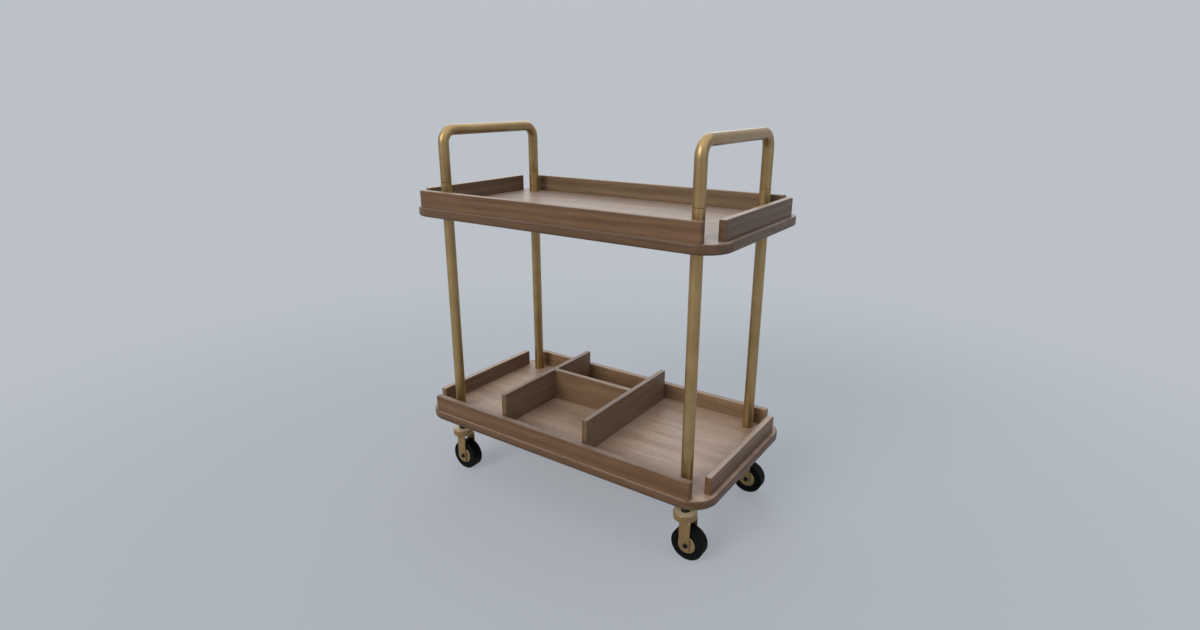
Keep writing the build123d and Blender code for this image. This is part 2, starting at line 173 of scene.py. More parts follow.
@dataclass(frozen=True)
class Walnut(Finish):
    """Walnut, planed, stained and satin lacquered.

    The eye sees brown streaks along the grain, wider bands where the growth rings are cut flat, fine dark
    pores, a soft grey sheen at low angles from the lacquer, and paler tops that are painted top light.
    """

    grain: Grain
    cut_mm: Triple
    # Gain on the stain: partly real variation between pieces, partly painted light, up in shade and down in
    # bright light
    tone: float
    # How far what faces up is painted paler: painted top light and sheen
    top_light_share: float
    fresh: Shades = ("#5E422B", "#6F5035", "#805F42")
    painted_top_light: Shades = ("#98826F", "#AA9481", "#BAA693")
    shade_stops: Triple = (0.30, 0.50, 0.70)
    # Everything in the wood is about 12 times as long along the grain as across it
    draw_out: float = 0.085
    ring_mm: float = 22.0
    streak_mm: float = 9.0
    drift_mm: float = 60.0
    streak_share: float = 0.72
    drift_share: float = 0.3
    # Upward share of the normal where the painted top light starts, and where it is full
    top_light_start: float = 0.80
    top_light_full: float = 0.99
    # Real pores are 0.2 mm wide, drawn at 1.3 mm so that they show
    pore_mm: float = 1.3
    # Height in the noise where a pore starts, and where it is fully open
    pore_start: float = 0.62
    pore_full: float = 0.72
    pore_color: str = "#3A281D"
    pore_shade: float = 0.45
    pore_depth_mm: float = 0.15
    pore_relief: float = 0.25
    smooth: float = 0.46
    rough: float = 0.54
    ior: float = 1.4
    lacquer: float = 0.15
    lacquer_rough: float = 0.22

    def surface(self, tree: bpy.types.NodeTree) -> dict[str, Any]:
        """Draw the figure, the wear and the pores of the wood.

        Args:
            tree: The material's node tree.

        Returns:
            What goes into the shader: sockets of the patterns, and plain values.
        """
        place = add_node(tree, "ShaderNodeTexCoord").outputs["Object"]
        cut = add_node(tree, "ShaderNodeMapping", {
            "Vector": place,
            "Location": [step * MM for step in self.cut_mm],
            "Rotation": (0.0, 0.0, -math.radians(self.grain.value)),
        }).outputs[0]
        fibre = add_node(tree, "ShaderNodeMapping", {
            "Vector": cut, "Scale": (self.draw_out, 1.0, 1.0),
        }).outputs[0]
        figure = self.draw_figure(tree, fibre)
        pores = add_node(tree, "ShaderNodeTexNoise", {
            "Vector": fibre, "Scale": 1 / (self.pore_mm * MM), "Detail": 1.0,
        }).outputs["Fac"]
        open_pore = add_node(tree, "ShaderNodeMapRange", {
            "Value": pores, "From Min": self.pore_start, "From Max": self.pore_full,
        }).outputs[0]
        darkened = add_node(tree, "ShaderNodeMath", {
            0: open_pore, 1: self.pore_shade,
        }, operation="MULTIPLY").outputs[0]
        stained = add_node(tree, "ShaderNodeMix", {
            "Factor": darkened, COLOR_A: self.paint_top_light(tree, figure), COLOR_B: linear(self.pore_color),
        }, data_type="RGBA").outputs[COLOR_OUT]
        sheen = add_node(tree, "ShaderNodeMapRange", {
            "Value": figure, "From Min": NOISE_LOW, "From Max": NOISE_HIGH,
            "To Min": self.rough, "To Max": self.smooth,
        }).outputs[0]
        relief = add_node(tree, "ShaderNodeBump", {
            "Strength": self.pore_relief, "Distance": self.pore_depth_mm * MM, "Height": open_pore,
        }, invert=True).outputs[0]
        return {
            "Base Color": stained, "Roughness": sheen, "Normal": relief,
            "IOR": self.ior, "Coat Weight": self.lacquer, "Coat Roughness": self.lacquer_rough,
        }

    def draw_figure(
        self, tree: bpy.types.NodeTree, fibre: bpy.types.NodeSocket,
    ) -> bpy.types.NodeSocket:
        """Mix growth rings, streaks and the slow drift of the wood's colour.

        Args:
            tree: The material's node tree.
            fibre: Places in the log, drawn out along the grain.

        Returns:
            A socket from 0, dark wood, to 1, light wood.
        """
        # A ring wave repeats every 2 pi / 20 of its scale
        rings = add_node(tree, "ShaderNodeTexWave", {
            "Vector": fibre, "Scale": math.tau / 20 / (self.ring_mm * MM), "Distortion": 9.0,
            "Detail": 3.0, "Detail Scale": 0.6, "Detail Roughness": 0.6,
        }, wave_type="RINGS", rings_direction="X", wave_profile="SIN").outputs["Fac"]
        streaks = add_node(tree, "ShaderNodeTexNoise", {
            "Vector": fibre, "Scale": 1 / (self.streak_mm * MM), "Detail": 4.0, "Roughness": 0.6,
        }).outputs["Fac"]
        drift = add_node(tree, "ShaderNodeTexNoise", {
            "Vector": fibre, "Scale": 1 / (self.drift_mm * MM), "Detail": 2.0,
        }).outputs["Fac"]
        banded = add_node(tree, "ShaderNodeMix", {
            "Factor": self.streak_share, "A": rings, "B": streaks,
        }, data_type="FLOAT").outputs[0]
        return add_node(tree, "ShaderNodeMix", {
            "Factor": self.drift_share, "A": banded, "B": drift,
        }, data_type="FLOAT").outputs[0]

    def paint_top_light(self, tree: bpy.types.NodeTree, figure: bpy.types.NodeSocket) -> bpy.types.NodeSocket:
        """Colour the figure, painted paler where it faces up, right to the rounded edges, as painted top
        light.

        Args:
            tree: The material's node tree.
            figure: From 0, dark wood, to 1, light wood.

        Returns:
            A socket with the colour of the wood.
        """
        fresh, painted_top_light = [
            add_node(tree, "ShaderNodeValToRGB", {"Fac": figure}, stops=[
                (stop, linear(shade, gain)) for stop, shade in zip(self.shade_stops, shades)
            ]).outputs["Color"]
            for shades, gain in ((self.fresh, self.tone), (self.painted_top_light, 1.0))
        ]
        # Painted top light and sheen: faces that look up take the paler colours
        facing = add_node(tree, "ShaderNodeNewGeometry").outputs["Normal"]
        upward = add_node(tree, "ShaderNodeSeparateXYZ", {"Vector": facing}).outputs["Z"]
        worn = add_node(tree, "ShaderNodeMapRange", {
            "Value": upward, "From Min": self.top_light_start, "From Max": self.top_light_full,
            "To Min": 0.0, "To Max": self.top_light_share,
        }, interpolation_type="SMOOTHSTEP").outputs[0]
        return add_node(tree, "ShaderNodeMix", {
            "Factor": worn, COLOR_A: fresh, COLOR_B: painted_top_light,
        }, data_type="RGBA").outputs[COLOR_OUT]


@dataclass(frozen=True)
class Brass(Finish):
    """Brass, brushed and lacquered with a slight antique tone.

    The eye sees soft long highlights, a colour that drifts between olive gold and brown gold, and a faint
    grain of brush marks.
    """

    color: str = "#A88C5E"
    toned: str = "#9A7E50"
    brush: Brush = Brush.UP
    smooth: float = 0.40
    rough: float = 0.50
    metallic: float = 0.85
    lacquer: float = 0.35
    lacquer_rough: float = 0.12
    cloud_mm: float = 45.0
    cloud_share: float = 0.5
    # Brush marks are about 0.05 mm wide, drawn at 1 mm so that they show
    mark_mm: float = 1.0
    mark_depth_mm: float = 0.05
    mark_relief: float = 0.08
    # Height of a seam, if there is one. The real one is a hair line, drawn at 1.4 mm so that it shows
    seam_mm: float | None = None
    seam_width_mm: float = 1.4
    seam_color: str = "#67532F"
    # Whether the top is painted pale and less metallic where it faces up: a painted highlight
    painted_top_highlight: bool = False
    top_highlight_color: str = "#F2DFB4"
    top_highlight_metallic: float = 0.2
    # Upward share of the normal where the painted highlight starts, and where it is full
    top_highlight_start: float = 0.90
    top_highlight_full: float = 0.99

    def surface(self, tree: bpy.types.NodeTree) -> dict[str, Any]:
        """Draw the drifting tone, the brush marks, the seam and the painted highlight on the top.

        Args:
            tree: The material's node tree.

        Returns:
            What goes into the shader: sockets of the patterns, and plain values.
        """
        place = add_node(tree, "ShaderNodeTexCoord").outputs["Object"]
        brushed = add_node(tree, "ShaderNodeMapping", {
            "Vector": place, "Scale": self.brush.value,
        }).outputs[0]
        marks = add_node(tree, "ShaderNodeTexNoise", {
            "Vector": brushed, "Scale": 1 / (self.mark_mm * MM), "Detail": 3.0, "Roughness": 0.65,
        }).outputs["Fac"]
        cloud = add_node(tree, "ShaderNodeTexNoise", {
            "Vector": place, "Scale": 1 / (self.cloud_mm * MM), "Detail": 3.0,
        }).outputs["Fac"]
        tone = add_node(tree, "ShaderNodeValToRGB", {"Fac": cloud}, stops=[
            (CLOUD_LOW, linear(self.toned)), (CLOUD_HIGH, linear(self.color)),
        ]).outputs["Color"]
        metal: float | bpy.types.NodeSocket = self.metallic
        if self.seam_mm is not None:
            height = add_node(tree, "ShaderNodeSeparateXYZ", {"Vector": place}).outputs["Z"]
            seam = add_node(tree, "ShaderNodeMath", {
                0: height, 1: self.seam_mm * MM, 2: self.seam_width_mm / 2 * MM,
            }, operation="COMPARE").outputs[0]
            tone = add_node(tree, "ShaderNodeMix", {
                "Factor": seam, COLOR_A: tone, COLOR_B: linear(self.seam_color),
            }, data_type="RGBA").outputs[COLOR_OUT]
        # Painted highlight: what faces up takes a pale colour and less metal
        if self.painted_top_highlight:
            facing = add_node(tree, "ShaderNodeNewGeometry").outputs["Normal"]
            upward = add_node(tree, "ShaderNodeSeparateXYZ", {"Vector": facing}).outputs["Z"]
            top_highlight = add_node(tree, "ShaderNodeMapRange", {
                "Value": upward, "From Min": self.top_highlight_start, "From Max": self.top_highlight_full,
            }).outputs[0]
            tone = add_node(tree, "ShaderNodeMix", {
                "Factor": top_highlight, COLOR_A: tone, COLOR_B: linear(self.top_highlight_color),
            }, data_type="RGBA").outputs[COLOR_OUT]
            metal = add_node(tree, "ShaderNodeMapRange", {
                "Value": top_highlight, "To Min": self.metallic, "To Max": self.top_highlight_metallic,
            }).outputs[0]
        worn = add_node(tree, "ShaderNodeMix", {
            "Factor": self.cloud_share, "A": marks, "B": cloud,
        }, data_type="FLOAT").outputs[0]
        gloss = add_node(tree, "ShaderNodeMapRange", {
            "Value": worn, "From Min": NOISE_LOW, "From Max": NOISE_HIGH,
            "To Min": self.smooth, "To Max": self.rough,
        }).outputs[0]
        relief = add_node(tree, "ShaderNodeBump", {
            "Strength": self.mark_relief, "Distance": self.mark_depth_mm * MM, "Height": marks,
        }).outputs[0]
        return {
            "Base Color": tone, "Metallic": metal, "Roughness": gloss, "Normal": relief,
            "Coat Weight": self.lacquer, "Coat Roughness": self.lacquer_rough,
        }


@dataclass(frozen=True)
class PlainFinish(Finish):
    """A finish of one colour with fine mottling in tone, gloss and relief."""

    light: str
    dark: str
    metallic: float
    smooth: float
    rough: float
    # Real grit is 0.05 to 0.2 mm, drawn at about 1 mm so that it shows
    grit_mm: float
    grit_relief: float
    grit_depth_mm: float = 0.1
    cloud_mm: float = 18.0
    specular: float = 0.5

    def surface(self, tree: bpy.types.NodeTree) -> dict[str, Any]:
        """Draw the grit and the clouds.

        Args:
            tree: The material's node tree.

        Returns:
            What goes into the shader: sockets of the patterns, and plain values.
        """
        place = add_node(tree, "ShaderNodeTexCoord").outputs["Object"]
        grit = add_node(tree, "ShaderNodeTexNoise", {
            "Vector": place, "Scale": 1 / (self.grit_mm * MM), "Detail": 3.0, "Roughness": 0.6,
        }).outputs["Fac"]
        cloud = add_node(tree, "ShaderNodeTexNoise", {
            "Vector": place, "Scale": 1 / (self.cloud_mm * MM), "Detail": 3.0,
        }).outputs["Fac"]
        tone = add_node(tree, "ShaderNodeValToRGB", {"Fac": cloud}, stops=[
            (CLOUD_LOW, linear(self.dark)), (CLOUD_HIGH, linear(self.light)),
        ]).outputs["Color"]
        gloss = add_node(tree, "ShaderNodeMapRange", {
            "Value": cloud, "From Min": NOISE_LOW, "From Max": NOISE_HIGH,
            "To Min": self.smooth, "To Max": self.rough,
        }).outputs[0]
        relief = add_node(tree, "ShaderNodeBump", {
            "Strength": self.grit_relief, "Distance": self.grit_depth_mm * MM, "Height": grit,
        }).outputs[0]
        return {
            "Base Color": tone, "Metallic": self.metallic, "Roughness": gloss, "Normal": relief,
            "Specular IOR Level": self.specular,
        }


# Black oxide on steel: a thin brown-black film that keeps a dull metal gloss
BLACK_OXIDE_STEEL = PlainFinish(
    "black_oxide_steel", light="#1B1A19", dark="#121211", metallic=0.6, smooth=0.35, rough=0.48,
    grit_mm=0.8, grit_relief=0.06,
)
# Zinc plate with a clear pass: pale grey, a little cloudy, half gloss
ZINC_PLATED_STEEL = PlainFinish(
    "zinc_plated_steel", light="#B9BBB8", dark="#9D9F9C", metallic=1.0, smooth=0.28, rough=0.42,
    grit_mm=0.8, grit_relief=0.06,
)
# Nylon, moulded and left natural: cream white with a waxy gloss
MOULDED_NYLON = PlainFinish(
    "moulded_nylon", light="#DDD8CA", dark="#D2CCBC", metallic=0.0, smooth=0.38, rough=0.48,
    grit_mm=1.2, grit_relief=0.05,
)
# Rubber, moulded and vulcanised: near black, matt, with a fine dusty grain
VULCANISED_RUBBER = PlainFinish(
    "vulcanised_rubber", light="#090909", dark="#070707", metallic=0.0, smooth=0.55, rough=0.68,
    grit_mm=0.9, grit_relief=0.25, specular=0.10,
)


def dress(node: str, material: bpy.types.Material) -> None:
    """Put a finish on a CAD node.

    Args:
        node: The node's name.
        material: Its finish.
    """
    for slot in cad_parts[node].material_slots:
        slot.material = material
    log.info("%s: %s", node, material.name)


def pick_faces(piece: bpy.types.Object, test: Callable[[Vector, Vector], bool]) -> None:
    """Select some faces of a piece in edit mode.

    Args:
        piece: The active mesh object.
        test: Takes a face's centre and normal, and says whether it is selected.
    """
    bpy.ops.object.mode_set(mode="EDIT")
    bpy.ops.mesh.select_mode(type="FACE")
    bpy.ops.mesh.select_all(action="DESELECT")
    bpy.ops.object.mode_set(mode="OBJECT")
    for face in piece.data.polygons:
        face.select = test(face.center, face.normal)
    bpy.ops.object.mode_set(mode="EDIT")


def pick_edges(piece: bpy.types.Object, test: Callable[[Vector], bool]) -> None:
    """Select some edges of a piece in edit mode.

    Args:
        piece: The active mesh object.
        test: Takes the place of an end, and says whether it belongs. An edge needs both ends.
    """
    bpy.ops.object.mode_set(mode="EDIT")
    bpy.ops.mesh.select_mode(type="EDGE")
    bpy.ops.mesh.select_all(action="DESELECT")
    bpy.ops.object.mode_set(mode="OBJECT")
    chosen = [test(vertex.co) for vertex in piece.data.vertices]
    for edge in piece.data.edges:
        edge.select = all(chosen[end] for end in edge.vertices)
    bpy.ops.object.mode_set(mode="EDIT")


def split(point: Vector, normal: Triple) -> None:
    """Cut every face of the piece in edit mode along a plane.

    Args:
        point: A point on the plane.
        normal: The plane's normal.
    """
    bpy.ops.mesh.select_all(action="SELECT")
    bpy.ops.mesh.bisect(plane_co=point, plane_no=normal)


def alone(piece: bpy.types.Object) -> None:
    """Leave edit mode and select one piece only.

    Args:
        piece: The piece, which becomes the active one.
    """
    if bpy.context.mode != "OBJECT":
        bpy.ops.object.mode_set(mode="OBJECT")
    bpy.ops.object.select_all(action="DESELECT")
    piece.select_set(True)
    bpy.context.view_layer.objects.active = piece


def settle(piece: bpy.types.Object) -> None:
    """Put a piece's place, turn and scale into its mesh."""
    alone(piece)
    bpy.ops.object.transform_apply(location=True, rotation=True, scale=True)


def soften(piece: bpy.types.Object, width: float) -> None:
    """Close the mesh, round its sharp edges and smooth its shading.

    Args:
        piece: The piece.
        width: Width of the rounding, in metres.
    """
    alone(piece)
    bpy.ops.object.mode_set(mode="EDIT")
    bpy.ops.mesh.select_all(action="SELECT")
    bpy.ops.mesh.remove_doubles(threshold=MERGE_DISTANCE)
    bpy.ops.mesh.normals_make_consistent(inside=False)
    bpy.ops.object.mode_set(mode="OBJECT")
    edge = piece.modifiers.new("edge", "BEVEL")
    edge.width = width
    edge.segments = 2
    edge.limit_method = "ANGLE"
    edge.angle_limit = SHARP_TURN
    bpy.ops.object.modifier_apply(modifier=edge.name)
    bpy.ops.object.shade_smooth_by_angle(angle=SHARP_TURN)


def copy_to(piece: bpy.types.Object, step: Vector) -> bpy.types.Object:
    """Copy a piece, with its own mesh, to another place.

    Args:
        piece: The piece.
        step: How far the copy stands from it, in metres.

    Returns:
        The copy.
    """
    alone(piece)
    bpy.ops.object.duplicate(linked=False)
    copy = bpy.context.object
    copy.location = step
    settle(copy)
    return copy


def hand_over(
    piece: bpy.types.Object, node: str, body: str, material: bpy.types.Material,
) -> None:
    """Let a modelled piece stand for a CAD node.

    Args:
        piece: The piece.
        node: The node that it replaces.
        body: The body that carries it.
        material: Its finish.
    """
    piece.data.materials.clear()
    piece.data.materials.append(material)
    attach(piece, body)
    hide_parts(node)
    log.info("%s: %s, %d faces", piece.name, material.name, len(piece.data.polygons))


@dataclass(frozen=True)
class ScrewRow:
    """A row of screws along one rail or divider."""

    panel: str
    screws: int
    end_distance: float

    def spots(self) -> list[Vector]:
        """Find the screws from the panel's box.

        Returns:
            Their places in plan, evenly spaced along the panel, in metres.
        """
        low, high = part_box(self.panel)
        size = high - low
        along = Vector((1.0, 0.0)) if size.x > size.y else Vector((0.0, 1.0))
        reach = max(size.x, size.y) / 2 - self.end_distance
        middle = (low + high).to_2d() / 2
        return [middle + along * reach * (2 * i / (self.screws - 1) - 1) for i in range(self.screws)]


@dataclass
class WoodScrews:
    """Countersunk wood screws with a cross recess, driven up through the boards."""

    head_diameter: float = 8.0 * MM
    shank_diameter: float = 4.0 * MM
    head_height: float = 2.0 * MM
    tip_length: float = 6.0 * MM
    tip_taper: float = 0.1
    recess_width: float = 1.1 * MM
    recess_reach: float = 1.6 * MM
    recess_depth: float = 1.5 * MM
    recess_taper: float = 0.5
    edge_width: float = 0.12 * MM
    sides: int = 24
    # How many screws hold each rail of a tray, and each divider
    rails: dict[str, int] = field(default_factory=lambda: {
        "front_rail": 3, "rear_rail": 3, "left_rail": 2, "right_rail": 2,
    })
    dividers: dict[str, int] = field(default_factory=lambda: {
        "left_divider": 3, "right_divider": 3, "cross_divider": 2,
    })
    rail_end_distance: float = 60.0 * MM
    divider_end_distance: float = 50.0 * MM

    def build(self) -> None:
        """Model one screw, set copies of it in every hole and finish them."""
        zinc = ZINC_PLATED_STEEL.material()
        low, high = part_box("upper_rail_screws")
        screw = self.model(high.z - low.z)
        for node, rows in self.rows().items():
            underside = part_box(node)[0].z
            spots = [spot for row in rows for spot in row.spots()]
            copies = [copy_to(screw, Vector((*spot, underside))) for spot in spots]
            alone(copies[0])
            for copy in copies:
                copy.select_set(True)
            bpy.ops.object.join()
            driven = bpy.context.object
            driven.name = f"driven_{node}"
            hand_over(driven, node, "cart", zinc)
        bpy.data.objects.remove(screw)

    def rows(self) -> dict[str, list[ScrewRow]]:
        """List the rows of screws.

        Returns:
            The rows of each node of screws.
        """
        rows = {
            f"{tray}_rail_screws": [
                ScrewRow(f"{tray}_{rail}", screws, self.rail_end_distance)
                for rail, screws in self.rails.items()
            ]
            for tray in ("upper", "lower")
        }
        rows["divider_screws"] = [
            ScrewRow(divider, screws, self.divider_end_distance)
            for divider, screws in self.dividers.items()
        ]
        return rows

    def model(self, length: float) -> bpy.types.Object:
        """Model one screw that stands head down on the origin.

        Args:
            length: From the head to the tip, in metres.

        Returns:
            The screw.
        """
        bpy.ops.object.select_all(action="DESELECT")
        bpy.ops.mesh.primitive_cone_add(
            vertices=self.sides, radius1=self.head_diameter / 2, radius2=self.shank_diameter / 2,
            depth=self.head_height, location=(0.0, 0.0, self.head_height / 2),
        )
        screw = bpy.context.object
        settle(screw)
        pick_faces(screw, lambda place, normal: normal.z > ALONG_AXIS)
        straight = length - self.head_height - self.tip_length
        for rise in (straight, self.tip_length):
            bpy.ops.mesh.extrude_region_move(TRANSFORM_OT_translate={"value": (0.0, 0.0, rise)})
        bpy.ops.transform.resize(
            value=(self.tip_taper, self.tip_taper, 1.0), center_override=(0.0, 0.0, length),
        )
        alone(screw)
        cutter = self.model_driver()
        alone(screw)
        recess = screw.modifiers.new("recess", "BOOLEAN")
        recess.operation = "DIFFERENCE"
        recess.solver = "EXACT"
        recess.object = cutter
        bpy.ops.object.modifier_apply(modifier=recess.name)
        bpy.data.objects.remove(cutter)
        soften(screw, self.edge_width)
        return screw

    def model_driver(self) -> bpy.types.Object:
        """Model the tapered cross that cuts the recess.

        Returns:
            The cross, pointing up into the head.
        """
        bpy.ops.object.select_all(action="DESELECT")
        bpy.ops.mesh.primitive_cube_add(size=1.0, scale=(
            self.recess_width, self.recess_width, 2 * self.recess_depth,
        ))
        cross = bpy.context.object
        settle(cross)
        pick_faces(cross, lambda place, normal: abs(normal.z) < ACROSS_AXIS)
        bpy.ops.mesh.extrude_faces_move(TRANSFORM_OT_shrink_fatten={"value": self.recess_reach})
        pick_faces(cross, lambda place, normal: normal.z > ALONG_AXIS)
        bpy.ops.transform.resize(
            value=(self.recess_taper, self.recess_taper, 1.0),
            center_override=(0.0, 0.0, self.recess_depth),
        )
        alone(cross)
        return cross


@dataclass(frozen=True)
class CutPlan:
    """Where a row of pieces is sawn out of the log, in millimetres along, across and down through it."""

    first: Triple
    step: Triple

    def cut(self, i: int) -> Triple:
        """Find where a piece is sawn out.

        Args:
            i: The piece's number in its row, from 0.

        Returns:
            Its place in the log.
        """
        along, across, down = [start + step * i for start, step in zip(self.first, self.step)]
        return along, across, down


@dataclass
class Trays:
    """Two boards with their rails, and the dividers of the lower tray."""

    # Paler colours painted on the boards' tops: painted top light and sheen, greyer on the upper board
    upper_painted_top_light: Shades = ("#8A7668", "#9B8879", "#AB9A8B")
    lower_painted_top_light: Shades = ("#9B816D", "#AE947F", "#BEA791")
    # Gain on each board's stain, partly real variation and partly painted light
    upper_tone_and_light: float = 0.64
    lower_tone_and_light: float = 0.70
    board_top_light_share: float = 1.0
    # Gain on the stain, partly painted light, and share of painted top light on each rail and divider
    long_panels: dict[str, tuple[float, float]] = field(default_factory=lambda: {
        "upper_front_rail": (0.93, 0.45), "upper_rear_rail": (1.0, 0.45),
        "lower_front_rail": (0.94, 0.45), "lower_rear_rail": (1.40, 0.45),
        "cross_divider": (1.26, 0.3),
    })
    short_panels: dict[str, tuple[float, float]] = field(default_factory=lambda: {
        "upper_left_rail": (1.05, 1.0), "upper_right_rail": (0.71, 1.0),
        "lower_left_rail": (1.36, 1.0), "lower_right_rail": (0.93, 1.0),
        "left_divider": (1.22, 0.3), "right_divider": (1.10, 0.3),
    })
    # These take a greyer stain, which paints the cool grey light on their shaded faces: painted shade
    grey_shade_panels: tuple[str, ...] = (
        "upper_left_rail", "lower_left_rail", "upper_rear_rail", "lower_rear_rail",
        "left_divider", "right_divider", "cross_divider",
    )
    grey_shade_stain: Shades = ("#5E4936", "#6F5842", "#806951")
    board_cuts: CutPlan = CutPlan(first=(0.0, 40.0, 210.0), step=(370.0, -70.0, -900.0))
    long_cuts: CutPlan = CutPlan(first=(740.0, 90.0, 30.0), step=(370.0, 35.0, -45.0))
    short_cuts: CutPlan = CutPlan(first=(2590.0, 75.0, 60.0), step=(370.0, 30.0, -55.0))
    screws: WoodScrews = field(default_factory=WoodScrews)

    def dress(self) -> None:
        """Give each wooden piece its own cut of the same walnut, and drive the screws."""
        boards = {
            "upper_board": (self.upper_painted_top_light, self.upper_tone_and_light),
            "lower_board": (self.lower_painted_top_light, self.lower_tone_and_light),
        }
        for i, (board, (painted_top_light, tone)) in enumerate(boards.items()):
            cut = self.board_cuts.cut(i)
            walnut = Walnut(f"walnut_{board}", Grain.ALONG_X, cut, tone, self.board_top_light_share, painted_top_light=painted_top_light)
            dress(board, walnut.material())
        self.dress_panels(self.long_panels, Grain.ALONG_X, self.long_cuts)
        self.dress_panels(self.short_panels, Grain.ALONG_Y, self.short_cuts)
        self.screws.build()

    def dress_panels(self, panels: dict[str, tuple[float, float]], grain: Grain, cuts: CutPlan) -> None:
        """Put walnut on rails and dividers, with the greyer stain of painted shade on the listed ones.

        Args:
            panels: Gain on the stain, partly painted light, and share of painted top light of each rail or
                divider.
            grain: Which way their grain runs.
            cuts: Where they are sawn out of the log.
        """
        for i, (panel, (tone, top_light_share)) in enumerate(panels.items()):
            walnut = Walnut(f"walnut_{panel}", grain, cuts.cut(i), tone, top_light_share)
            # Painted shade: the listed panels take the greyer stain
            if panel in self.grey_shade_panels:
                walnut = replace(walnut, fresh=self.grey_shade_stain)
            dress(panel, walnut.material())


@dataclass
class TubeFrame:
    """Posts, ferrules and handles of brass tube, and what joins them inside."""

    upright: Brass = Brass("brushed_brass_tube", seam_mm=SEAM_MM)
    bent: Brass = Brass(
        "brushed_brass_handle", color="#A1865A", toned="#93784C", brush=Brush.ALL_ROUND,
        smooth=0.34, rough=0.44, seam_mm=SEAM_MM,
    )
    hidden: tuple[str, ...] = ("threaded_inserts", "tie_studs", "handle_spigots")

    def dress(self) -> None:
        """Put brass on the tubes and their small screws, and zinc on the hardware inside."""
        tube = self.upright.material()
        for corner in CORNERS:
            dress(f"post_{corner}", tube)
            dress(f"ferrule_{corner}", tube)
        handle = self.bent.material()
        dress("handle_left", handle)
        dress("handle_right", handle)
        zinc = ZINC_PLATED_STEEL.material()
        for node in self.hidden:
            dress(node, zinc)
        dress("handle_screws", tube)


